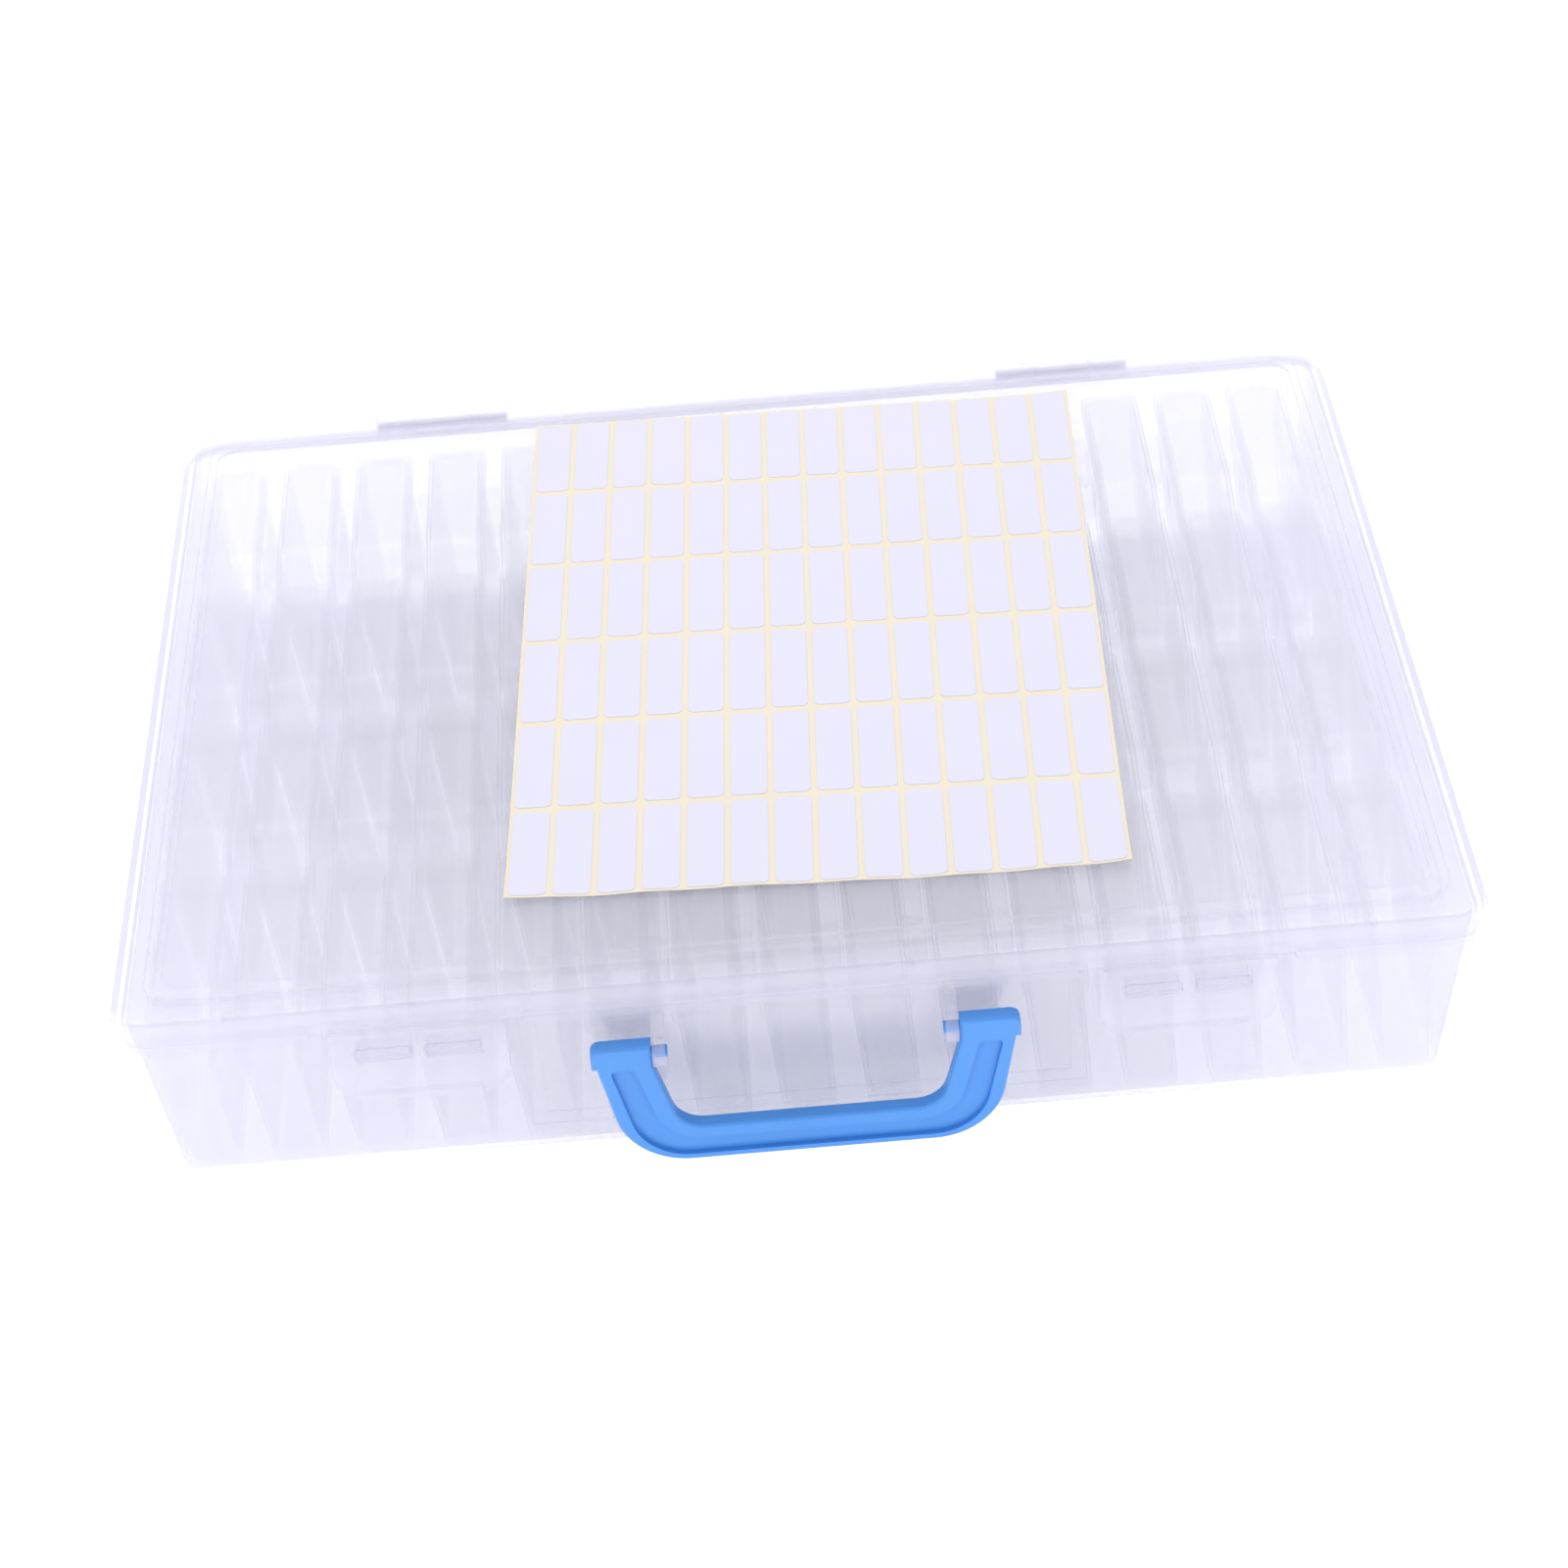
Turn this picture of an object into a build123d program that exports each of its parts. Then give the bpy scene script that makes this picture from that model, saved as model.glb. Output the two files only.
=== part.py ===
"""Bead storage box: a clear plastic case with a hinged lid, a carry handle and sixty flip-lid bead boxes.

Millimetres. X runs along the front, Y from front to back, Z up.
The origin is on the table, under the middle of the tray.
"""
from build123d import *
from math import atan2, cos, degrees, radians, sin
import os

# Bead boxes: how many, and one box with its cap on
columns = 15
rows = 4
box_width = 16.4
box_length = 62.0
box_height = 47.0
box_corner = 2.0
column_gap = 5.0
row_gap = 1.4
tub_wall = 1.0
tub_floor_width = 13.4
tub_floor_length = 53.4
tub_top_play = 0.2
tub_collar = 10.6

# Flip cap of a bead box: flat at the back, sloping down at the front
cap_wall = 0.9
cap_top = 1.0
cap_skirt = 4.0
cap_play = 0.25
cap_edge_round = 0.6
slope_length = 16.4
slope_drop = 7.0
crease_radius = 7.0
band_width = 4.2
groove_width = 0.8
groove_depth = 0.35

# Spacer lugs on the right side of each tub, and the ledge that carries its cap's film hinge
lug_height = 8.0
lug_drop = 0.6
lug_play = 0.4
lug_stations = ((0.15, 15.0), (-0.14, 11.5))
ledge_width = 9.0
ledge_height = 1.2

# Tray
tray_floor = 1.8
tray_wall = 1.8
seat_gap = 0.05
side_room = 2.7
end_room = 2.4
floor_room = 0.8
rim_corner = 4.0
floor_corner = 2.5
rim_rise = 3.2
rim_thickness = 2.2
rim_overhang = 3.2
case_corner = 10.8
tray_bottom_round = 3.5
lip_height = 3.4
lip_thickness = 1.2
front_panel_half = 69.0
front_panel_step = 0.3
front_panel_border = 4.0
front_panel_bottom = 9.5

# Lid
lid_gap = 0.2
lid_wall = 1.8
lid_top = 1.6
skirt_height = 7.0
lid_edge_round = 1.2
panel_side_inset = 9.7
panel_front_inset = 7.1
panel_back_inset = 11.0
panel_corner = 7.0
panel_rise = 1.2
bead_width = 4.2
bead_rise = 0.6
lid_rib_stations = (26.4, 93.5, 138.0)
lid_rib_width = 2.0
lid_rib_depth = 3.0

# Latch flaps
latch_centre = 93.1
latch_width = 43.0
latch_hang = 21.6
latch_thickness = 2.0
latch_corner = 7.0
latch_play = 0.15
window_width = 14.2
window_height = 4.6
window_spacing = 17.0
window_drop = 5.0
window_corner = 0.8
latch_lip = 1.0
latch_lip_height = 2.4
latch_lip_draft = 20
rim_notch_margin = 4.6
rim_notch_land = 0.2
catch_side_play = 0.8
catch_top_play = 0.8
catch_bottom_play = 0.6
catch_slope = 1.2

# Handle and its ears
ear_centre = 35.4
ear_thickness = 3.0
ear_nose = 3.8
ear_nose_start = 75
ear_nose_arc = 225
ear_foot = 26.0
pivot_forward = 4.5
pivot_drop = 10.4
pin_radius = 1.5
pin_play = 0.1
pin_proud = 0.6
ear_play = 0.3
handle_block_length = 14.8
handle_block_height = 6.4
handle_block_corner = 2.4
handle_thickness = 4.4
handle_drop = 34.6
handle_grip = 10.8
handle_arm = 12.9
handle_lean = 7.2
handle_outer_radius = 18.0
handle_inner_radius = 8.0
handle_edge_round = 0.9
channel_depth = 1.3
channel_rim = 3.6
channel_low_rim = 1.9
channel_corner = 1.2
channel_top_gap = 0.5

# Rear hinges: one lid knuckle between two tray knuckles, on a pin
hinge_centre = 92.0
knuckle_radius = 3.2
knuckle_air = 0.3
lid_knuckle_length = 16.0
tray_knuckle_length = 11.0
knuckle_gap = 0.4
hinge_pin_radius = 1.2
hinge_pin_play = 0.05
hinge_pin_turn_play = 0.1
hinge_pin_inset = 0.5

# Sheet of blank labels that lies on the lid
label_columns = 14
label_rows = 6
label_width = 9.3
label_length = 34.2
label_column_gap = 1.7
label_row_gap = 2.1
label_corner = 1.5
label_thickness = 0.15
backing_thickness = 0.3
backing_side = 1.0
backing_end = 0.8
sheet_centre = (10.1, 5.5)
sheet_turn = -2.1

# Sizes that follow from those above
column_pitch = box_width + column_gap
row_pitch = box_length + row_gap
contents_width = columns * column_pitch - column_gap
contents_depth = rows * row_pitch - row_gap
lug_reach = column_gap - lug_play
boxes_shift = -lug_reach / 2
rim_inner = (contents_width + lug_reach + 2 * side_room, contents_depth + 2 * end_room)
floor_inner = (
    (columns - 1) * column_pitch + tub_floor_width + 2 * floor_room,
    (rows - 1) * row_pitch + tub_floor_length + 2 * floor_room,
)
rim_outer = tuple(side + 2 * tray_wall for side in rim_inner)
floor_outer = tuple(side + 2 * tray_wall for side in floor_inner)
case_width, case_depth = (side + 2 * rim_overhang for side in rim_outer)

box_base = tray_floor + seat_gap
cap_top_z = box_base + box_height
rim_z = cap_top_z + rim_rise
rim_under_z = rim_z - rim_thickness
lid_base = rim_z + lid_gap
border_z = lid_base + skirt_height
panel_z = border_z + panel_rise
front_y = -case_depth / 2
back_y = case_depth / 2
panel_width = case_width - 2 * panel_side_inset
panel_depth = case_depth - panel_front_inset - panel_back_inset
panel_y = (panel_front_inset - panel_back_inset) / 2

tub_width = box_width - 2 * (cap_wall + cap_play)
tub_length = box_length - 2 * (cap_wall + cap_play)
tub_top_z = box_height - cap_top - tub_top_play
crease_y = -box_length / 2 + slope_length

pivot_y = front_y - pivot_forward
pivot_z = rim_z - pivot_drop
latch_axis_y = front_y
latch_axis_z = lid_base - latch_play - latch_thickness / 2
hinge_y = back_y + knuckle_radius + knuckle_air
hinge_z = rim_z + lid_gap / 2


def front_wall_y(z):
    """Y of the tray's outer front face at height z."""
    share = z / rim_z
    return -(floor_outer[1] + (rim_outer[1] - floor_outer[1]) * share) / 2


def box_centre(column, row):
    """Middle of a bead box: column 0 is at the left, row 0 at the front."""
    x = (column - (columns - 1) / 2) * column_pitch + boxes_shift
    y = (row - (rows - 1) / 2) * row_pitch
    return x, y


def save(part, name):
    """Label a finished piece and write its STEP file."""
    part.label = name
    export_step(part, f"parts/{name}.step")


def rounded_block(low_size, high_size, low_z, high_z, low_corner, high_corner, low_shift=0):
    """Block with rounded corners that changes evenly from its low size to its high one.

    low_shift moves its low end sideways.
    """
    with BuildPart() as block:
        with BuildSketch(Plane.XY.offset(low_z)):
            with Locations((low_shift, 0)):
                RectangleRounded(*low_size, low_corner)
        with BuildSketch(Plane.XY.offset(high_z)):
            RectangleRounded(*high_size, high_corner)
        loft(ruled=True)
    return block.part


def make_tray():
    """Tray: tapered shell, rim flange, lip, catches, handle ears and rear knuckles."""
    outer_corners = (floor_corner + tray_wall, rim_corner + tray_wall)
    shell = rounded_block(floor_outer, rim_outer, 0, rim_z, *outer_corners)
    hollow = rounded_block(floor_inner, rim_inner, tray_floor, rim_z, floor_corner, rim_corner)
    fittings = (make_catches(), make_ears(), make_tray_knuckles())
    with BuildPart() as tray:
        add(shell)
        fillet(tray.faces().sort_by(Axis.Z)[0].edges(), tray_bottom_round)

        # Front panel between the two latches, recessed in two shallow steps
        wall_lean = degrees(atan2(front_wall_y(0) - front_wall_y(rim_z), rim_z))
        wall_normal = (0, -cos(radians(wall_lean)), -sin(radians(wall_lean)))
        for step in (0, 1):
            wall = Plane(
                origin=(0, front_wall_y(0) + (step + 1) * front_panel_step, 0),
                x_dir=(1, 0, 0),
                z_dir=wall_normal,
            )
            low = front_panel_bottom + step * front_panel_border
            with BuildSketch(wall):
                with Locations((0, (low + rim_under_z) / 2)):
                    Rectangle(2 * (front_panel_half - step * front_panel_border), rim_under_z - low)
            extrude(amount=rim_overhang, mode=Mode.SUBTRACT)

        # Rim flange and the lip that stands up inside the lid
        with BuildSketch(Plane.XY.offset(rim_under_z)):
            RectangleRounded(case_width, case_depth, case_corner)
        extrude(amount=rim_thickness)
        lip_outer = tuple(side + 2 * lip_thickness for side in rim_inner)
        with BuildSketch(Plane.XY.offset(rim_z)):
            RectangleRounded(*lip_outer, rim_corner + lip_thickness)
        extrude(amount=lip_height)

        # Notches in the flange, where the latch flaps hang
        notch_width = latch_width + 2 * rim_notch_margin
        notch_depth = rim_overhang - rim_notch_land
        with BuildSketch(Plane.XY.offset(rim_under_z)):
            with Locations(*((side * latch_centre, front_y) for side in (-1, 1))):
                RectangleRounded(notch_width, 2 * notch_depth, notch_depth - rim_notch_land)
        extrude(amount=rim_thickness, mode=Mode.SUBTRACT)

        # Hollow for the bead boxes
        add(hollow, mode=Mode.SUBTRACT)
        with BuildSketch(Plane.XY.offset(rim_z)):
            RectangleRounded(*rim_inner, rim_corner)
        extrude(amount=lip_height, mode=Mode.SUBTRACT)
        for fitting in fittings:
            add(fitting)
    return tray.part


def make_catches():
    """Two catches for each latch flap, one in each of its windows."""
    window_top = lid_base - window_drop
    high = window_top - catch_top_play
    low = window_top - window_height + catch_bottom_play
    face = latch_axis_y - latch_thickness / 2
    with BuildPart() as catches:
        for side in (-1, 1):
            for place in (-1, 1):
                x = side * latch_centre + place * window_spacing / 2
                with BuildSketch(Plane.YZ.offset(x)):
                    with BuildLine():
                        Polyline(
                            (front_wall_y(high) + tray_wall / 2, high),
                            (face, high),
                            (face, low + catch_slope),
                            (face + catch_slope, low),
                            (front_wall_y(low) + tray_wall / 2, low),
                            close=True,
                        )
                    make_face()
                extrude(amount=window_width / 2 - catch_side_play, both=True)
    return catches.part


def make_ears():
    """Two flat ears on the front wall, with the holes for the handle's pins."""
    foot_z = rim_under_z - ear_foot
    root = tray_wall / 2
    with BuildPart() as ears:
        for side in (-1, 1):
            with BuildSketch(Plane.YZ.offset(side * ear_centre)):
                with BuildLine():
                    nose = CenterArc((pivot_y, pivot_z), ear_nose, ear_nose_start, ear_nose_arc)
                    Polyline(
                        nose @ 0,
                        (front_wall_y(rim_under_z) - ear_nose / 2, rim_under_z),
                        (front_wall_y(rim_under_z) + root, rim_under_z),
                        (front_wall_y(foot_z) + root, foot_z),
                        nose @ 1,
                    )
                make_face()
                with Locations((pivot_y, pivot_z)):
                    Circle(pin_radius + pin_play, mode=Mode.SUBTRACT)
            extrude(amount=ear_thickness / 2, both=True)
    return ears.part


def make_tray_knuckles():
    """Four knuckles on the tray's rear rim, two for each hinge."""
    offset_x = (lid_knuckle_length + tray_knuckle_length) / 2 + knuckle_gap
    with BuildPart() as knuckles:
        for side in (-1, 1):
            for place in (-1, 1):
                x = side * hinge_centre + place * offset_x
                with BuildSketch(Plane.YZ.offset(x)):
                    with Locations((hinge_y, hinge_z)):
                        Circle(knuckle_radius)
                    with BuildLine():
                        Polyline(
                            (hinge_y, hinge_z - knuckle_radius),
                            (hinge_y, rim_z),
                            (back_y - rim_overhang, rim_z),
                            (back_y - rim_overhang, rim_under_z),
                            (back_y, rim_under_z),
                            close=True,
                        )
                    make_face()
                    with Locations((hinge_y, hinge_z)):
                        Circle(hinge_pin_radius + hinge_pin_play, mode=Mode.SUBTRACT)
                extrude(amount=tray_knuckle_length / 2, both=True)
    return knuckles.part


def make_lid():
    """Lid: skirt, flat border, raised panel with a bead round it, ribs and rear knuckles."""
    inner_corner = case_corner - lid_wall
    inner_panel = (panel_width - 2 * lid_wall, panel_depth - 2 * lid_wall)
    bead_inner = (panel_width - 2 * bead_width, panel_depth - 2 * bead_width)
    with BuildPart() as lid:
        with BuildSketch(Plane.XY.offset(lid_base)):
            RectangleRounded(case_width, case_depth, case_corner)
        extrude(amount=skirt_height)
        fillet(lid.faces().sort_by(Axis.Z)[-1].edges(), lid_edge_round)
        with BuildSketch(Plane.XY.offset(border_z)):
            with Locations((0, panel_y)):
                RectangleRounded(panel_width, panel_depth, panel_corner)
        extrude(amount=panel_rise + bead_rise)
        fillet(lid.faces().sort_by(Axis.Z)[-1].edges(), panel_rise / 2)
        with BuildSketch(Plane.XY.offset(panel_z)):
            with Locations((0, panel_y)):
                RectangleRounded(*bead_inner, panel_corner - bead_width / 2)
        extrude(amount=bead_rise, mode=Mode.SUBTRACT)

        # Hollow under the border and under the panel
        with BuildSketch(Plane.XY.offset(lid_base)):
            RectangleRounded(case_width - 2 * lid_wall, case_depth - 2 * lid_wall, inner_corner)
        extrude(amount=skirt_height - lid_top, mode=Mode.SUBTRACT)
        with BuildSketch(Plane.XY.offset(border_z - lid_top)):
            with Locations((0, panel_y)):
                RectangleRounded(*inner_panel, panel_corner - lid_wall)
        extrude(amount=panel_rise, mode=Mode.SUBTRACT)

        # Small stiffening ribs inside the front of the skirt
        rib_y = front_y + lid_wall + lid_rib_depth / 2
        rib_height = skirt_height - lid_top
        lip_clear = lip_height + lid_gap
        with BuildSketch(Plane.XY.offset(lid_base + lip_clear)):
            with Locations(*((side * x, rib_y) for side in (-1, 1) for x in lid_rib_stations)):
                Rectangle(lid_rib_width, lid_rib_depth)
        extrude(amount=rib_height - lip_clear)

        for side in (-1, 1):
            with BuildSketch(Plane.YZ.offset(side * hinge_centre)):
                with Locations((hinge_y, hinge_z)):
                    Circle(knuckle_radius)
                with BuildLine():
                    Polyline(
                        (hinge_y, hinge_z + knuckle_radius),
                        (hinge_y, lid_base),
                        (back_y - lid_wall, lid_base),
                        (back_y - lid_wall, hinge_z + knuckle_radius),
                        close=True,
                    )
                make_face()
                with Locations((hinge_y, hinge_z)):
                    Circle(hinge_pin_radius + hinge_pin_turn_play, mode=Mode.SUBTRACT)
            extrude(amount=lid_knuckle_length / 2, both=True)
    return lid.part


def make_latch(side):
    """Latch flap: a plate with a rolled top edge, two windows and a finger lip."""
    centre_x = side * latch_centre
    low = lid_base - latch_hang
    plate_plane = Plane(origin=(centre_x, latch_axis_y, 0), x_dir=(1, 0, 0), z_dir=(0, -1, 0))
    window_z = lid_base - window_drop - window_height / 2
    with BuildPart() as latch:
        with BuildSketch(plate_plane):
            with BuildLine():
                half = latch_width / 2
                Polyline((-half, latch_axis_z), (half, latch_axis_z), (half, low), (-half, low), close=True)
            make_face()
            fillet(vertices().group_by(Axis.Y)[0], latch_corner)
            with Locations(*((place * window_spacing / 2, window_z) for place in (-1, 1))):
                RectangleRounded(window_width, window_height, window_corner, mode=Mode.SUBTRACT)
        extrude(amount=latch_thickness / 2, both=True)
        with BuildSketch(Plane.YZ.offset(centre_x)):
            with Locations((latch_axis_y, latch_axis_z)):
                Circle(latch_thickness / 2)
        extrude(amount=half, both=True)
        with BuildSketch(plate_plane.offset(latch_thickness / 2)):
            with Locations((0, low + latch_lip_height / 2)):
                Rectangle(latch_width - 2 * latch_corner, latch_lip_height)
        extrude(amount=latch_lip, taper=latch_lip_draft)
    return latch.part


def handle_outline(margin, low_margin):
    """Closed outline of the hanging bail, drawn in by margin, and by low_margin at its lower edge."""
    top = handle_block_height / 2 - margin
    outer_top = ear_centre + ear_thickness / 2 + ear_play + handle_block_length - margin
    inner_top = outer_top - handle_arm + 2 * margin
    low = -handle_drop + low_margin
    grip_top = low + handle_grip - margin - low_margin
    outer_low = outer_top - handle_lean
    inner_low = inner_top - handle_lean
    with BuildLine() as outline:
        FilletPolyline(
            (inner_top, top),
            (inner_low, grip_top),
            (-inner_low, grip_top),
            (-inner_top, top),
            radius=handle_inner_radius + margin,
        )
        FilletPolyline(
            (-outer_top, top),
            (-outer_low, low),
            (outer_low, low),
            (outer_top, top),
            radius=handle_outer_radius - margin,
        )
        Line((inner_top, top), (outer_top, top))
        Line((-inner_top, top), (-outer_top, top))
    return outline.wires()[0]


def make_handle():
    """Carry handle: one bail with a channel in its face and a pin at each end."""
    plane = Plane(origin=(0, pivot_y, pivot_z), x_dir=(1, 0, 0), z_dir=(0, -1, 0))
    block_inner = ear_centre + ear_thickness / 2 + ear_play
    pin_end = ear_centre - ear_thickness / 2 - pin_proud
    with BuildPart() as handle:
        with BuildSketch(plane):
            with BuildLine():
                add(handle_outline(0, 0))
            make_face()
            with Locations(*((side * (block_inner + handle_block_length / 2), 0) for side in (-1, 1))):
                Rectangle(handle_block_length, handle_block_height)
            top_corners = vertices().group_by(Axis.Y)[-1].sort_by(Axis.X)
            fillet([top_corners[0], top_corners[-1]], handle_block_corner)
        extrude(amount=handle_thickness / 2, both=True)
        front = handle.faces().sort_by(Axis.Y)[0]
        back = handle.faces().sort_by(Axis.Y)[-1]
        fillet(front.edges() + back.edges(), handle_edge_round)
        with BuildSketch(plane.offset(handle_thickness / 2 - channel_depth)):
            with BuildLine():
                add(handle_outline(channel_rim, channel_low_rim))
            make_face()
            Rectangle(
                2 * (block_inner + handle_block_length),
                handle_block_height + 2 * channel_top_gap,
                mode=Mode.SUBTRACT,
            )
            fillet(vertices().group_by(Axis.Y)[-1], channel_corner)
        extrude(amount=channel_depth, mode=Mode.SUBTRACT)
        for side in (-1, 1):
            with BuildSketch(Plane.YZ.offset(side * pin_end)):
                with Locations((pivot_y, pivot_z)):
                    Circle(pin_radius)
            extrude(amount=side * (block_inner + pin_radius - pin_end))
    return handle.part


def make_hinge_pin(side):
    """Pin of one rear hinge, a little shorter than its three knuckles."""
    half = lid_knuckle_length / 2 + knuckle_gap + tray_knuckle_length - hinge_pin_inset
    with BuildPart() as pin:
        with BuildSketch(Plane.YZ.offset(side * hinge_centre)):
            with Locations((hinge_y, hinge_z)):
                Circle(hinge_pin_radius)
        extrude(amount=half, both=True)
    return pin.part


def roof_z(y):
    """Height of a cap's upper face at y, both measured from the foot of its box."""
    return box_height - max(0, crease_y - y) * slope_drop / slope_length


def cap_profile(shrink, drop, foot):
    """Side view of a cap, drawn flat: its ends moved in by shrink and its top lowered by drop.

    foot is how far the outline reaches below that top.
    """
    half = box_length / 2 - shrink
    points = [(y, roof_z(y) - drop) for y in (half, crease_y, -half)]
    with BuildSketch() as profile:
        with BuildLine():
            top = FilletPolyline(*points, radius=crease_radius)
            low = FilletPolyline(*((y, z - foot) for y, z in points), radius=crease_radius)
            Line(top @ 0, low @ 0)
            Line(top @ 1, low @ 1)
        make_face()
    return profile.sketch_local


def make_tub():
    """One tub: open at the top, with a sloping mouth, two spacer lugs and a hinge ledge."""
    outer_low = (tub_floor_width, tub_floor_length)
    outer_top = (tub_width, tub_length)
    inner_low, inner_top = (
        tuple(side - 2 * tub_wall for side in size) for size in (outer_low, outer_top)
    )
    inner_corner = box_corner - tub_wall
    collar_z = tub_top_z - tub_collar
    outside = rounded_block(outer_low, outer_top, 0, collar_z, box_corner, box_corner, -boxes_shift)
    inside = rounded_block(
        inner_low, inner_top, tub_wall, collar_z, inner_corner, inner_corner, -boxes_shift
    )
    mouth = cap_profile(0, cap_top + tub_top_play, box_height)
    with BuildPart() as tub:
        add(outside)
        with BuildSketch(Plane.XY.offset(collar_z)):
            RectangleRounded(*outer_top, box_corner)
        extrude(amount=tub_collar)

        # Lugs that keep the next box to the right at its distance
        lug_z = box_height - cap_skirt - lug_drop - lug_height
        lug_end = box_width / 2 + lug_reach
        for share, length in lug_stations:
            with BuildSketch(Plane.XY.offset(lug_z)):
                with Locations((lug_end / 2, share * box_length)):
                    RectangleRounded(lug_end, length, column_gap / 2)
            extrude(amount=lug_height)

        # Ledge at the back, under the line where the cap folds
        ledge_z = box_height - cap_top - ledge_height - tub_top_play
        ledge_depth = (box_length - tub_length) / 2 + tub_wall
        with BuildSketch(Plane.XY.offset(ledge_z)):
            with Locations((0, (box_length - ledge_depth) / 2)):
                Rectangle(ledge_width, ledge_depth)
        extrude(amount=ledge_height)

        add(inside, mode=Mode.SUBTRACT)
        with BuildSketch(Plane.XY.offset(collar_z)):
            RectangleRounded(*inner_top, inner_corner)
        extrude(amount=tub_collar, mode=Mode.SUBTRACT)
        with BuildSketch(Plane.YZ):
            add(mouth)
        extrude(amount=box_width + column_gap, both=True, mode=Mode.INTERSECT)
    return tub.part


def make_cap():
    """One flip cap: a shallow cover with a creased top and a groove beside its right band."""
    half = box_width / 2
    outside = cap_profile(0, 0, cap_skirt)
    inside = cap_profile(cap_wall, cap_top, box_height)
    groove = cap_profile(-cap_wall, -cap_top, cap_top + groove_depth)
    with BuildPart() as cap:
        with BuildSketch(Plane.YZ):
            add(outside)
        extrude(amount=half, both=True)
        fillet(cap.edges().filter_by(Axis.Z), box_corner)
        rim = [
            edge
            for edge in cap.edges()
            if edge.center().Z > roof_z(edge.center().Y) - cap_skirt / 3
            and (abs(edge.center().X) > half / 2 or abs(edge.center().Y) > box_length / 2 - cap_wall)
        ]
        fillet(rim, cap_edge_round)
        with BuildSketch(Plane.YZ):
            add(inside)
            with Locations((box_length / 2, 0)):
                Rectangle(2 * cap_wall, 2 * (box_height - cap_top))
        extrude(amount=half - cap_wall, both=True, mode=Mode.SUBTRACT)
        with BuildSketch(Plane.YZ.offset(half - band_width - groove_width)):
            add(groove)
        extrude(amount=groove_width, mode=Mode.SUBTRACT)
    return cap.part


def place_boxes(piece, cells):
    """Copies of one tub or cap at the given (column, row) cells."""
    with BuildPart() as placed:
        with Locations(*((*box_centre(column, row), box_base) for column, row in cells)):
            add(piece)
    return placed.part


def sheet_plane(height):
    """Plane of the label sheet at a height above the lid's panel."""
    turn = radians(sheet_turn)
    return Plane(origin=(*sheet_centre, panel_z + height), x_dir=(cos(turn), sin(turn), 0), z_dir=(0, 0, 1))


def make_backing():
    """Backing paper of the label sheet."""
    width = label_columns * (label_width + label_column_gap) - label_column_gap + 2 * backing_side
    length = label_rows * (label_length + label_row_gap) - label_row_gap + 2 * backing_end
    with BuildPart() as backing:
        with BuildSketch(sheet_plane(seat_gap)):
            Rectangle(width, length)
        extrude(amount=backing_thickness)
    return backing.part


def make_labels():
    """All the labels on the sheet."""
    with BuildPart() as labels:
        with BuildSketch(sheet_plane(seat_gap + backing_thickness)):
            with GridLocations(
                label_width + label_column_gap,
                label_length + label_row_gap,
                label_columns,
                label_rows,
            ):
                RectangleRounded(label_width, label_length, label_corner)
        extrude(amount=label_thickness)
    return labels.part


save(make_tray(), "base_tray")
save(make_lid(), "lid")
save(make_latch(-1), "latch_left")
save(make_latch(1), "latch_right")
save(make_handle(), "handle")
save(make_hinge_pin(-1), "hinge_pin_left")
save(make_hinge_pin(1), "hinge_pin_right")
save(make_backing(), "label_backing")
save(make_labels(), "labels")

# The front row is one file a box; each row behind it is one file of tubs and one of caps
tub = make_tub()
cap = make_cap()
for column in range(columns):
    number = f"{column + 1:02d}"
    save(place_boxes(tub, [(column, 0)]), f"tub_front_{number}")
    save(place_boxes(cap, [(column, 0)]), f"cap_front_{number}")
for row in range(1, rows):
    cells = [(column, row) for column in range(columns)]
    save(place_boxes(tub, cells), f"tubs_row_{row + 1}")
    save(place_boxes(cap, cells), f"caps_row_{row + 1}")
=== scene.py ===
"""Bead storage box: its finishes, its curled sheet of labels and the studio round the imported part."""
import math

import bpy
from mathutils import Matrix, Vector


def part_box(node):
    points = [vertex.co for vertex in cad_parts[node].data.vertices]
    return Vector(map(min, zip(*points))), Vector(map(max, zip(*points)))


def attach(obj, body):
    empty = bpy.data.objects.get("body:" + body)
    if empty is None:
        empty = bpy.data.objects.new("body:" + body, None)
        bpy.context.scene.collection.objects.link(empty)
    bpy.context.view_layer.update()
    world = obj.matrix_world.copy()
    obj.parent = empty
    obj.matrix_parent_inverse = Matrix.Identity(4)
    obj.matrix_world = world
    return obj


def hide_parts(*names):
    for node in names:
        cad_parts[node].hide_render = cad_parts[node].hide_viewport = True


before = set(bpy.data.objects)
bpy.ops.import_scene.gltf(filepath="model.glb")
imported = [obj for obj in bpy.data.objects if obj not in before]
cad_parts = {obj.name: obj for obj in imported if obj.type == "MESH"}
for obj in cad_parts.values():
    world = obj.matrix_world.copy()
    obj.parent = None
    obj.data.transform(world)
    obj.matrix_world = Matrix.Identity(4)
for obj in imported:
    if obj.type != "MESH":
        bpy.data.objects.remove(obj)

bl_info = {
    "name": "Bead storage box",
    "version": (1, 0, 0),
    "blender": (4, 5, 0),
    "location": "View3D > Sidebar > Bead box",
    "description": "Finishes, label sheet and studio for a clear case of small bead boxes",
    "category": "Object",
}

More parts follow.
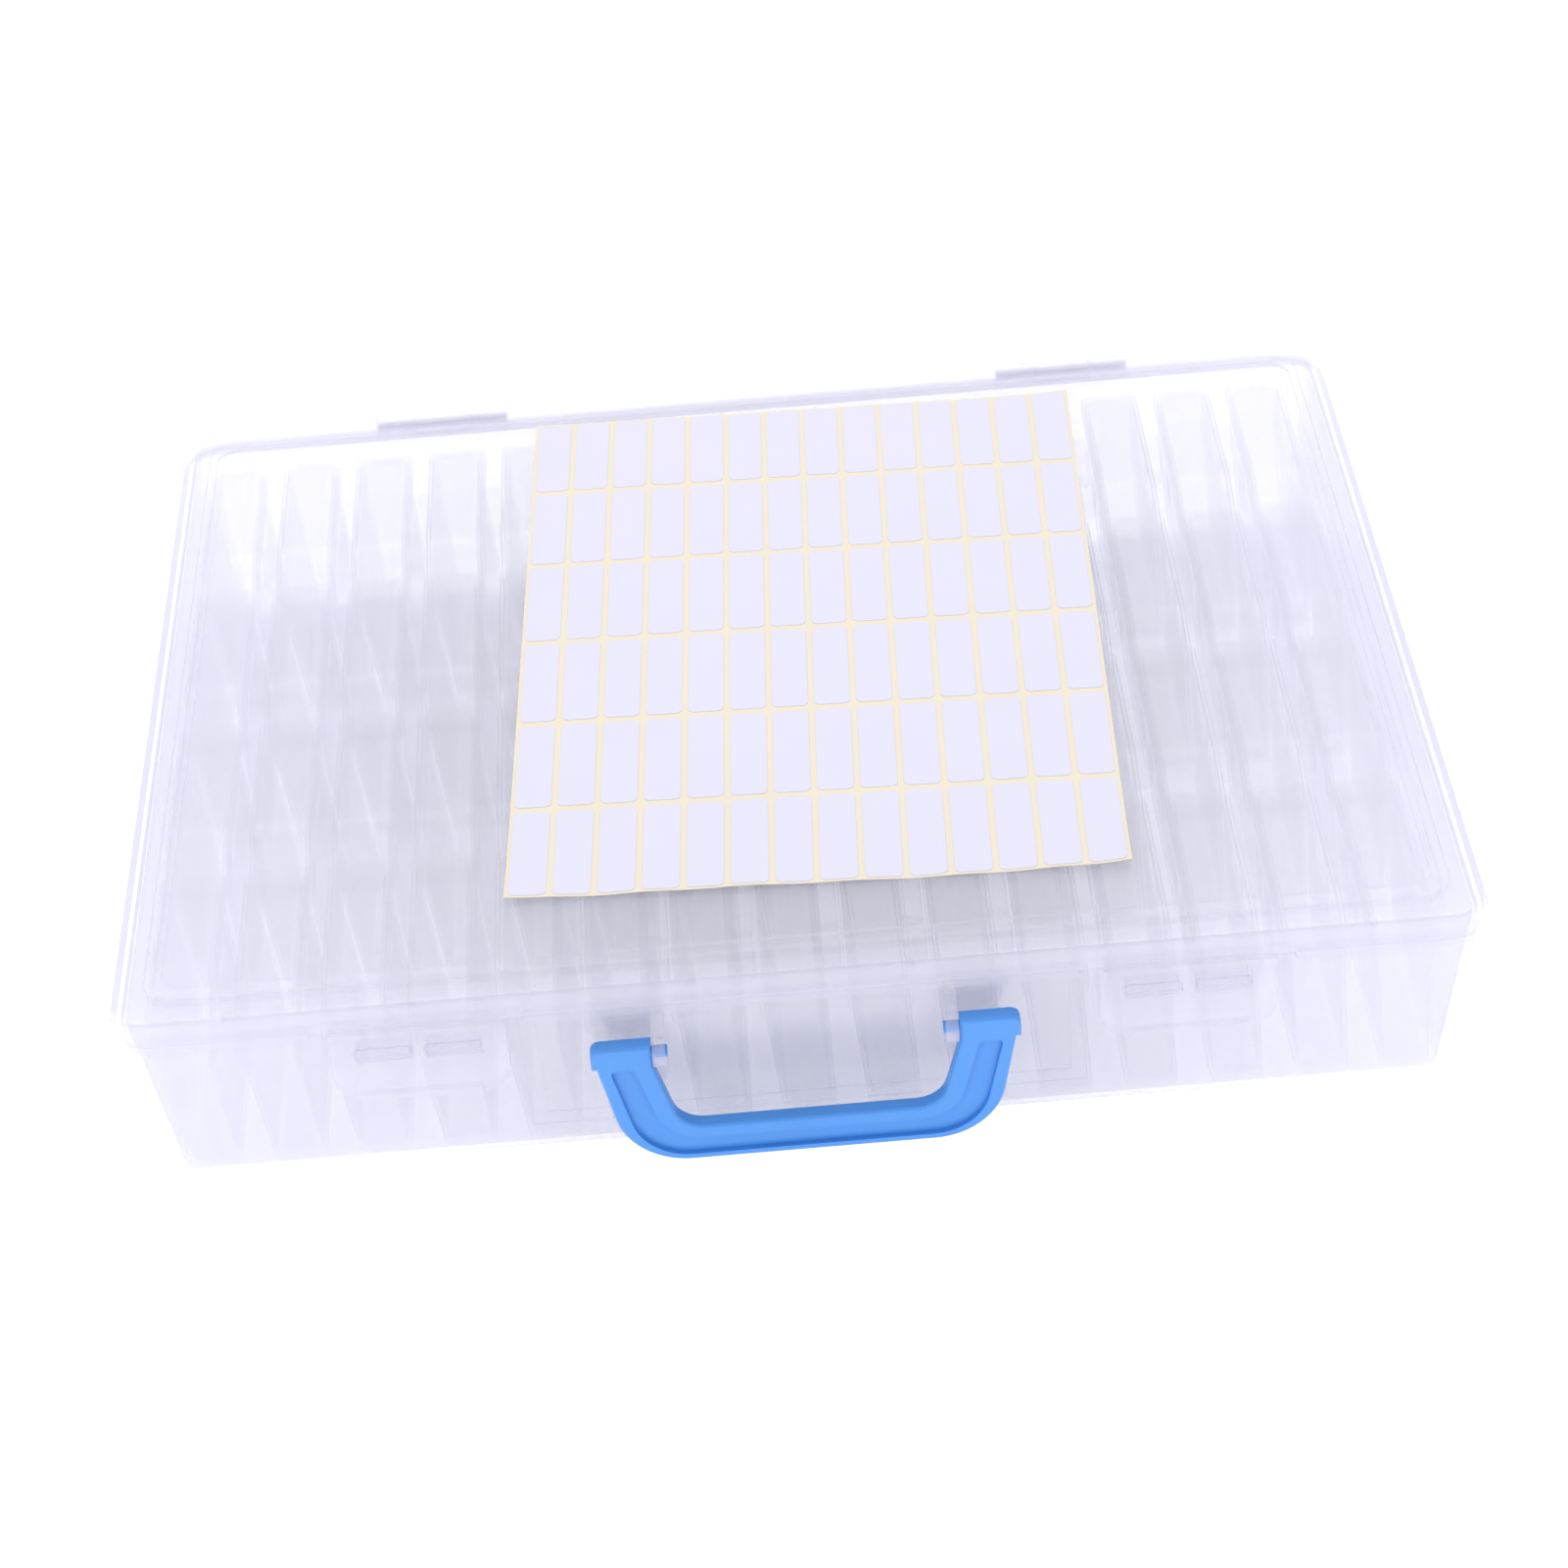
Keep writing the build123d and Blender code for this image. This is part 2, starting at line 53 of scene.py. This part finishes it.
MM = 0.001
PHOTO_SIDE = 1601
CLEAR_LAYERS = 24  # clear walls that a ray may pass on its way through the box
LIGHT_BOUNCES = 6  # bounces of light, enough for the milk of two walls and the table
WHITE = (1.0, 1.0, 1.0, 1.0)
LIGHT_THROUGH = 0.5  # share of the milk's light that goes through it
EDGE_RISE = 2.5  # how late the plastic grows dense as it turns edge on
HAZE_DRIFT = 0.02
FACE_GLOSS, EDGE_GLOSS = 0.04, 0.3
EDGE_HAZE = 0.6
TRAY_SHADE, TRAY_HAZE = 0.96, 0.04  # the tray's walls are a little thicker than the lid's
BOX_EDGE_HAZE, CAP_EDGE_HAZE, CAP_HAZE = 0.3, 0.4, 0.01
WIRE_GREY = (0.62, 0.62, 0.64)
CAMERA_PLACE = (0, -0.816, 0.6456)
SENSOR_WIDTH = 36.0  # millimetres, as Blender gives it
FLOOR_REACH, FLOOR_GAP = 6.0, 0.1 * MM
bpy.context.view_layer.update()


class Value:
    """A shader socket that takes part in Python arithmetic."""

    def __init__(self, finish, socket):
        self.finish = finish
        self.socket = socket

    def _math(self, operation, first, second):
        settings = {"operation": operation}
        return self.finish.node("ShaderNodeMath", settings, {0: first, 1: second})["Value"]

    def __add__(self, other):
        return self._math("ADD", self, other)

    def __sub__(self, other):
        return self._math("SUBTRACT", self, other)

    def __rsub__(self, other):
        return self._math("SUBTRACT", other, self)

    def __mul__(self, other):
        return self._math("MULTIPLY", self, other)

    def __pow__(self, other):
        return self._math("POWER", self, other)

    __radd__ = __add__
    __rmul__ = __mul__


class Finish:
    """A node material for one of the box's finishes."""

    def __init__(self, name):
        self.material = bpy.data.materials.new(name)
        self.material.use_nodes = True
        self.tree = self.material.node_tree
        self.tree.nodes.clear()
        self.output = self.tree.nodes.new("ShaderNodeOutputMaterial")

    def node(self, kind, settings=None, sockets=None):
        """Add a node: its settings first, then its sockets' values or links. Returns its shown outputs."""
        made = self.tree.nodes.new(kind)
        for name, value in (settings or {}).items():
            setattr(made, name, value)
        for name, value in (sockets or {}).items():
            socket = made.inputs[name]
            if isinstance(value, Value):
                self.tree.links.new(value.socket, socket)
            else:
                socket.default_value = value
        return {out.name: Value(self, out) for out in made.outputs if out.enabled}

    def place(self):
        """Place on the object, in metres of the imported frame."""
        return self.node("ShaderNodeTexCoord")["Object"]

    def noise(self, scale, detail=2.0, roughness=0.5, stretch=None):
        """Soft noise from 0 to 1, with scale patches to the metre."""
        where = self.place()
        if stretch:
            where = self.node("ShaderNodeMapping", None, {"Vector": where, "Scale": stretch})["Vector"]
        sockets = {"Vector": where, "Scale": scale, "Detail": detail, "Roughness": roughness}
        return self.node("ShaderNodeTexNoise", None, sockets)["Fac"]

    def mix(self, share, first, second):
        """Colour between first and second."""
        made = self.node("ShaderNodeMix", {"data_type": "RGBA"}, {0: share, 6: first, 7: second})
        return made["Result"]

    def bump(self, height, strength, distance):
        """Normal from a height, with the distance in metres."""
        sockets = {"Height": height, "Strength": strength, "Distance": distance}
        return self.node("ShaderNodeBump", None, sockets)["Normal"]

    def facing(self):
        """0 where the surface is seen face on, rising to 1 where it is seen edge on."""
        return self.node("ShaderNodeLayerWeight", None, {"Blend": 0.5})["Facing"]

    def principled(self, **sockets):
        """Principled surface; underscores stand for the spaces in its sockets' names."""
        named = {name.replace("_", " "): value for name, value in sockets.items()}
        return self.node("ShaderNodeBsdfPrincipled", None, named)["BSDF"]

    def blend(self, share, first, second):
        """Surface between first and second."""
        return self.node("ShaderNodeMixShader", None, {0: share, 1: first, 2: second})["Shader"]

    def finished(self, surface):
        """Show a surface, and return the material."""
        self.tree.links.new(surface.socket, self.output.inputs["Surface"])
        return self.material


def solid(colour):
    """Colour with full alpha."""
    return (*colour[:3], 1.0)


def shade(colour, factor):
    """Colour made darker or lighter by a factor."""
    return (*(min(1.0, part * factor) for part in colour[:3]), 1.0)


def clear_plastic(name, tint, haze, edge_haze, roughness, grain):
    """Milky see-through moulding: it lets light through, and is denser where it is seen edge on."""
    finish = Finish(name)
    cloud = finish.noise(scale=24, detail=grain)
    facing = finish.facing()
    colour = finish.mix(cloud, shade(tint, 0.985), shade(tint, 1.015))
    face = {"Base_Color": colour, "Roughness": 0.5, "Specular_IOR_Level": 0.0}
    shine = {"Roughness": roughness + cloud * 0.08, "Color": WHITE}
    if grain:
        ripple = finish.bump(finish.noise(scale=150, detail=1), strength=0.2, distance=0.15 * MM)
        face["Normal"] = shine["Normal"] = ripple
    through = finish.node("ShaderNodeBsdfTranslucent", None, {"Color": colour})["BSDF"]
    milk = finish.blend(LIGHT_THROUGH, finish.principled(**face), through)
    clear = finish.node("ShaderNodeBsdfTransparent")["BSDF"]
    density = haze + (edge_haze - haze) * facing ** EDGE_RISE + (cloud - 0.5) * HAZE_DRIFT
    seen = finish.blend(density, clear, milk)
    gloss = finish.node("ShaderNodeBsdfAnisotropic", None, shine)["BSDF"]
    mirrored = FACE_GLOSS + EDGE_GLOSS * facing ** 5
    return finish.finished(finish.blend(mirrored, seen, gloss))


def handle_plastic(colour):
    """Bright satin plastic with a faint moulded grain."""
    finish = Finish("handle_blue")
    drift = finish.noise(scale=40)
    grain = finish.noise(scale=2600, roughness=0.6)
    return finish.finished(finish.principled(
        Base_Color=finish.mix(drift, shade(colour, 0.94), shade(colour, 1.05)),
        Roughness=0.28 + drift * 0.12,
        Normal=finish.bump(grain, strength=0.1, distance=0.06 * MM),
        IOR=1.49,
        Subsurface_Weight=0.1,
        Subsurface_Radius=(0.002, 0.003, 0.005),
    ))


def paper(name, colour, roughness, fibre):
    """Paper with soft fibres and a little unevenness."""
    finish = Finish(name)
    cloud = finish.noise(scale=35, detail=3, roughness=0.55)
    fibres = finish.noise(scale=1500, detail=3, roughness=0.65, stretch=(1, 0.35, 1))
    return finish.finished(finish.principled(
        Base_Color=finish.mix(cloud, shade(colour, 0.985), shade(colour, 1.015)),
        Roughness=roughness + (fibres - 0.5) * 0.15,
        Normal=finish.bump(fibres, strength=fibre, distance=0.05 * MM),
    ))


def drawn_wire(colour):
    """Plain wire with fine marks along its length."""
    finish = Finish("pin_wire")
    marks = finish.noise(scale=900, detail=3, roughness=0.6, stretch=(0.08, 1, 1))
    return finish.finished(finish.principled(
        Base_Color=finish.mix(marks, shade(colour, 0.85), shade(colour, 1.1)),
        Metallic=1.0,
        Roughness=0.28 + marks * 0.2,
        Normal=finish.bump(marks, strength=0.2, distance=0.03 * MM),
    ))


def stage_finish(colour, glow):
    """Matt floor, lit a little from below as a product table is, with an almost unseen mottle."""
    finish = Finish("studio_floor")
    mottle = finish.noise(scale=3)
    tone = finish.mix(mottle, shade(colour, 0.995), solid(colour))
    return finish.finished(finish.principled(
        Base_Color=tone, Roughness=0.9, Emission_Color=tone, Emission_Strength=glow,
    ))


def dress(node_names, material):
    """Give CAD nodes their finish."""
    for name in node_names:
        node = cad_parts[name]
        if not node.material_slots:
            node.data.materials.append(material)
        for place in node.material_slots:
            place.material = material


def make_object(name, points, faces, material):
    """Mesh object of one material, from points in metres and faces."""
    mesh = bpy.data.meshes.new(name)
    mesh.from_pydata(points, [], faces)
    mesh.materials.append(material)
    mesh.update()
    made = bpy.data.objects.new(name, mesh)
    bpy.context.scene.collection.objects.link(made)
    return made


class BeadBoxLooks(bpy.types.PropertyGroup):
    """Sizes and colours of the box's looks."""

    case_tint: bpy.props.FloatVectorProperty(
        name="Case tint", description="Colour of the milky case plastic", subtype="COLOR",
        default=(0.72, 0.715, 0.845), min=0, max=1,
    )
    box_tint: bpy.props.FloatVectorProperty(
        name="Box tint", description="Colour of the small boxes' plastic", subtype="COLOR",
        default=(0.9, 0.905, 0.97), min=0, max=1,
    )
    handle_colour: bpy.props.FloatVectorProperty(
        name="Handle", description="Colour of the carry handle", subtype="COLOR",
        default=(0.057, 0.25, 0.675), min=0, max=1,
    )
    label_colour: bpy.props.FloatVectorProperty(
        name="Labels", description="Colour of the blank labels", subtype="COLOR",
        default=(0.645, 0.63, 0.765), min=0, max=1,
    )
    backing_colour: bpy.props.FloatVectorProperty(
        name="Backing", description="Colour of the labels' backing paper", subtype="COLOR",
        default=(0.71, 0.65, 0.53), min=0, max=1,
    )
    floor_colour: bpy.props.FloatVectorProperty(
        name="Floor", description="Colour of the studio floor", subtype="COLOR",
        default=(0.96, 0.96, 0.965), min=0, max=1,
    )
    case_haze: bpy.props.FloatProperty(
        name="Case haze", description="How dense the case plastic looks face on", default=0.2, min=0, max=1,
    )
    box_haze: bpy.props.FloatProperty(
        name="Box haze", description="How dense the small boxes look face on", default=0.02, min=0, max=1,
    )
    corner_lift: bpy.props.FloatProperty(
        name="Corner lift", description="How far the sheet's front corners stand off the lid",
        default=1.8 * MM, min=0, max=6 * MM, subtype="DISTANCE", unit="LENGTH",
    )
    edge_wave: bpy.props.FloatProperty(
        name="Edge wave", description="Height of the waves along the sheet's front edge",
        default=0.7 * MM, min=0, max=3 * MM, subtype="DISTANCE", unit="LENGTH",
    )


def looks():
    """The box's looks in this scene."""
    return bpy.context.scene.bead_box


class BEADBOX_OT_case(bpy.types.Operator):
    """Dress the tray, the lid and the latch flaps in clear plastic"""

    bl_idname = "beadbox.case"
    bl_label = "Case"

    def execute(self, context):
        tint, haze = solid(looks().case_tint), looks().case_haze
        tray_tint, tray_haze = shade(tint, TRAY_SHADE), haze + TRAY_HAZE
        for nodes, name, colour, density, roughness in (
            (["lid"], "lid_clear", tint, haze, 0.16),
            (["base_tray"], "tray_clear", tray_tint, tray_haze, 0.18),
            (["latch_left", "latch_right"], "latch_clear", tint, haze, 0.2),
        ):
            dress(nodes, clear_plastic(name, colour, density, EDGE_HAZE, roughness, grain=2))
        return {"FINISHED"}


class BEADBOX_OT_boxes(bpy.types.Operator):
    """Dress the small bead boxes and their caps"""

    bl_idname = "beadbox.boxes"
    bl_label = "Bead boxes"

    def execute(self, context):
        tint, haze = solid(looks().box_tint), looks().box_haze
        names = sorted(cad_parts)
        tubs = [name for name in names if name.startswith("tub")]
        caps = [name for name in names if name.startswith("cap")]
        for nodes, name, density, edge in (
            (tubs, "box_clear", haze, BOX_EDGE_HAZE),
            (caps, "cap_clear", haze + CAP_HAZE, CAP_EDGE_HAZE),
        ):
            dress(nodes, clear_plastic(name, tint, density, edge, roughness=0.14, grain=0))
        return {"FINISHED"}


class BEADBOX_OT_handle(bpy.types.Operator):
    """Dress the carry handle and the rear hinge pins"""

    bl_idname = "beadbox.handle"
    bl_label = "Handle and pins"

    def execute(self, context):
        dress(["handle"], handle_plastic(solid(looks().handle_colour)))
        dress(["hinge_pin_left", "hinge_pin_right"], drawn_wire(WIRE_GREY))
        return {"FINISHED"}


SHEET_COLUMNS, SHEET_ROWS = 14, 6
LABEL_WIDTH, LABEL_LENGTH = 9.3 * MM, 34.2 * MM
LABEL_PITCH_X, LABEL_PITCH_Y = 11.0 * MM, 36.3 * MM
LABEL_CORNER = 1.5 * MM
SHEET_WIDTH, SHEET_LENGTH = 154.3 * MM, 217.3 * MM
SHEET_CENTRE, SHEET_TURN = (10.1 * MM, 5.5 * MM), math.radians(-2.1)
PAPER_THICKNESS, LABEL_THICKNESS = 0.16 * MM, 0.12 * MM
SHEET_CELLS_X, SHEET_CELLS_Y = 77, 108  # about 2 mm each
LABEL_CELLS_X, LABEL_CELLS_Y = 4, 8
SWELL_LENGTH, RIPPLE_LENGTH, DRIFT_LENGTH = 17, 3.9, 23  # the edge's waves, in millimetres to a radian
SWELL_REACH, RIPPLE_REACH = 16, 7  # how far they run in from the edge, in millimetres
LEFT_REACH, RIGHT_REACH, BACK_REACH = 13, 11, 10  # the same for the corners' curl


def sheet_lift(x, y):
    """How far the sheet stands off the lid at a place on it, measured from its middle."""
    to_front = (y + SHEET_LENGTH / 2) / MM
    to_left = (x + SHEET_WIDTH / 2) / MM
    to_right = (SHEET_WIDTH / 2 - x) / MM
    to_back = (SHEET_LENGTH / 2 - y) / MM
    drift = 0.6 * math.sin(to_left / DRIFT_LENGTH)
    swell = 0.5 - 0.5 * math.cos(to_left / SWELL_LENGTH)
    ripple = 0.25 - 0.25 * math.cos(to_left / RIPPLE_LENGTH + drift)
    wave = looks().edge_wave * (
        math.exp(-to_front / SWELL_REACH) * swell + math.exp(-to_front / RIPPLE_REACH) * ripple
    )
    left = looks().corner_lift * math.exp(-(to_front + to_left) / LEFT_REACH)
    right = 0.6 * looks().corner_lift * math.exp(-(to_front + to_right) / RIGHT_REACH)
    back = 0.5 * looks().corner_lift * math.exp(-(to_back + to_right) / BACK_REACH)
    return wave + left + right + back


def on_lid(x, y, height):
    """Point of the frame for a place on the sheet, at a height over the paper's underside."""
    cos, sin = math.cos(SHEET_TURN), math.sin(SHEET_TURN)
    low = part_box("label_backing")[0][2]
    return (
        SHEET_CENTRE[0] + x * cos - y * sin,
        SHEET_CENTRE[1] + x * sin + y * cos,
        low + sheet_lift(x, y) + height,
    )


def spread(low, high, count):
    """Count + 1 even places from low to high."""
    return [low + (high - low) * index / count for index in range(count + 1)]


def layered_grid(rows, thickness, base):
    """Closed thin slab over rows of (x, y) places: points and faces, top first."""
    across = len(rows[0])
    top = [on_lid(x, y, base + thickness) for row in rows for x, y in row]
    under = [on_lid(x, y, base) for row in rows for x, y in row]
    count = len(top)
    faces = []
    for j in range(len(rows) - 1):
        for i in range(across - 1):
            a = j * across + i
            faces.append((a, a + 1, a + across + 1, a + across))
            faces.append((count + a, count + a + across, count + a + across + 1, count + a + 1))
    last = (len(rows) - 1) * across
    for i in range(across - 1):
        faces.append((i + 1, i, count + i, count + i + 1))
        faces.append((last + i, last + i + 1, count + last + i + 1, count + last + i))
    for j in range(len(rows) - 1):
        a, b = j * across, (j + 1) * across
        faces.append((a, b, count + b, count + a))
        a, b = a + across - 1, b + across - 1
        faces.append((b, a, count + a, count + b))
    return top + under, faces


def label_rows(centre_x, centre_y):
    """Rows of places over one label, narrower at both ends where its corners are round."""
    half, end = LABEL_WIDTH / 2, LABEL_LENGTH / 2
    turns = [math.radians(angle) for angle in (0, 22.5, 45, 67.5, 90)]
    low_end = [
        (-end + LABEL_CORNER * (1 - math.sin(turn)), LABEL_CORNER * (1 - math.cos(turn)))
        for turn in reversed(turns)
    ]
    middle = [(y, 0) for y in spread(-end + LABEL_CORNER, end - LABEL_CORNER, LABEL_CELLS_Y)[1:-1]]
    high_end = [(-y, inset) for y, inset in reversed(low_end)]
    rows = []
    for y, inset in low_end + middle + high_end:
        places = spread(-half + inset, half - inset, LABEL_CELLS_X)
        rows.append([(centre_x + x, centre_y + y) for x in places])
    return rows


class BEADBOX_OT_label_sheet(bpy.types.Operator):
    """Lay the sheet of blank labels on the lid, its front corners a little curled"""

    bl_idname = "beadbox.label_sheet"
    bl_label = "Label sheet"

    def execute(self, context):
        xs = spread(-SHEET_WIDTH / 2, SHEET_WIDTH / 2, SHEET_CELLS_X)
        ys = spread(-SHEET_LENGTH / 2, SHEET_LENGTH / 2, SHEET_CELLS_Y)
        points, faces = layered_grid([[(x, y) for x in xs] for y in ys], PAPER_THICKNESS, 0)
        backing = make_object(
            "label_backing_sheet", points, faces,
            paper("backing_cream", solid(looks().backing_colour), roughness=0.5, fibre=0.12),
        )
        points, faces = [], []
        for row in range(SHEET_ROWS):
            for column in range(SHEET_COLUMNS):
                x = (column - (SHEET_COLUMNS - 1) / 2) * LABEL_PITCH_X
                y = (row - (SHEET_ROWS - 1) / 2) * LABEL_PITCH_Y
                some, more = layered_grid(label_rows(x, y), LABEL_THICKNESS, PAPER_THICKNESS)
                faces += [tuple(len(points) + corner for corner in face) for face in more]
                points += some
        labels = make_object(
            "blank_labels", points, faces,
            paper("label_white", solid(looks().label_colour), roughness=0.55, fibre=0.1),
        )
        for piece, node, slot in (
            (backing, "label_backing", "backing_paper"),
            (labels, "labels", "label_paper"),
        ):
            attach(piece, "label_sheet")
            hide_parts(node)
        return {"FINISHED"}


class BEADBOX_OT_stage(bpy.types.Operator):
    """Set the floor, the soft lights and the camera"""

    bl_idname = "beadbox.stage"
    bl_label = "Studio"

    table_glow: bpy.props.FloatProperty(
        name="Table glow", description="How bright the table shines from below", default=0.65, min=0,
    )
    focal_pixels: bpy.props.FloatProperty(
        name="Focal length", description="Camera's focal length in pixels of the photograph",
        default=3842, min=100,
    )
    look_down: bpy.props.FloatProperty(
        name="Look down", description="How far the camera looks below the horizon",
        default=math.radians(37.81), subtype="ANGLE", unit="ROTATION",
    )
    roll: bpy.props.FloatProperty(
        name="Roll", description="How far the camera is turned about its own line of sight",
        default=math.radians(-4.8), subtype="ANGLE", unit="ROTATION",
    )

    def execute(self, context):
        scene = context.scene
        far = FLOOR_REACH
        corners = [(-far, -far, 0), (far, -far, 0), (far, far, 0), (-far, far, 0)]
        finish = stage_finish(looks().floor_colour, self.table_glow)
        floor = make_object("floor", corners, [(0, 1, 2, 3)], finish)
        floor.location.z = -FLOOR_GAP

        world = bpy.data.worlds.new("studio")
        world.use_nodes = True
        background = world.node_tree.nodes["Background"]
        background.inputs["Color"].default_value = WHITE
        background.inputs["Strength"].default_value = 1.0
        scene.world = world

        self.add_light("back_strip", place=(0, 0.66, 1.15), size=(1.5, 0.07), power=5.0)
        self.add_light("front_soft", place=(-0.9, -1.2, 1.5), size=(1.4, 1.4), power=4.0)

        data = bpy.data.cameras.new("camera")
        data.sensor_width = SENSOR_WIDTH
        data.lens = self.focal_pixels / PHOTO_SIDE * data.sensor_width
        camera = bpy.data.objects.new("camera", data)
        tilt = Matrix.Rotation(math.pi / 2 - self.look_down, 4, "X")
        camera.matrix_world = (
            Matrix.Translation(CAMERA_PLACE) @ tilt @ Matrix.Rotation(self.roll, 4, "Z")
        )
        scene.collection.objects.link(camera)
        scene.camera = camera
        scene.view_settings.view_transform = "Standard"
        scene.cycles.transparent_max_bounces = CLEAR_LAYERS
        scene.cycles.max_bounces = LIGHT_BOUNCES
        return {"FINISHED"}

    def add_light(self, name, place, size, power):
        """Add a soft rectangular light that faces the box."""
        data = bpy.data.lights.new(name, "AREA")
        data.shape = "RECTANGLE"
        data.size, data.size_y = size
        data.energy = power
        light = bpy.data.objects.new(name, data)
        light.location = place
        light.rotation_euler = (-Vector(place)).to_track_quat("-Z", "Y").to_euler()
        bpy.context.scene.collection.objects.link(light)


class BEADBOX_PT_panel(bpy.types.Panel):
    """Sidebar panel that lists the box's looks and pieces"""

    bl_idname = "BEADBOX_PT_panel"
    bl_label = "Bead box"
    bl_space_type = "VIEW_3D"
    bl_region_type = "UI"
    bl_category = "Bead box"

    def draw(self, context):
        for name in BeadBoxLooks.__annotations__:
            self.layout.prop(context.scene.bead_box, name)
        for operator in PIECES:
            self.layout.operator(operator.bl_idname)


PIECES = (BEADBOX_OT_case, BEADBOX_OT_boxes, BEADBOX_OT_handle, BEADBOX_OT_label_sheet, BEADBOX_OT_stage)
CLASSES = (BeadBoxLooks, *PIECES, BEADBOX_PT_panel)


def register():
    """Register the classes and the looks."""
    for each in CLASSES:
        bpy.utils.register_class(each)
    bpy.types.Scene.bead_box = bpy.props.PointerProperty(type=BeadBoxLooks)


def unregister():
    """Remove the looks and the classes."""
    del bpy.types.Scene.bead_box
    for each in reversed(CLASSES):
        bpy.utils.unregister_class(each)


def main():
    """Make every piece and the studio."""
    register()
    bpy.ops.beadbox.case()
    bpy.ops.beadbox.boxes()
    bpy.ops.beadbox.handle()
    bpy.ops.beadbox.label_sheet()
    bpy.ops.beadbox.stage()


if __name__ == "__main__":
    main()
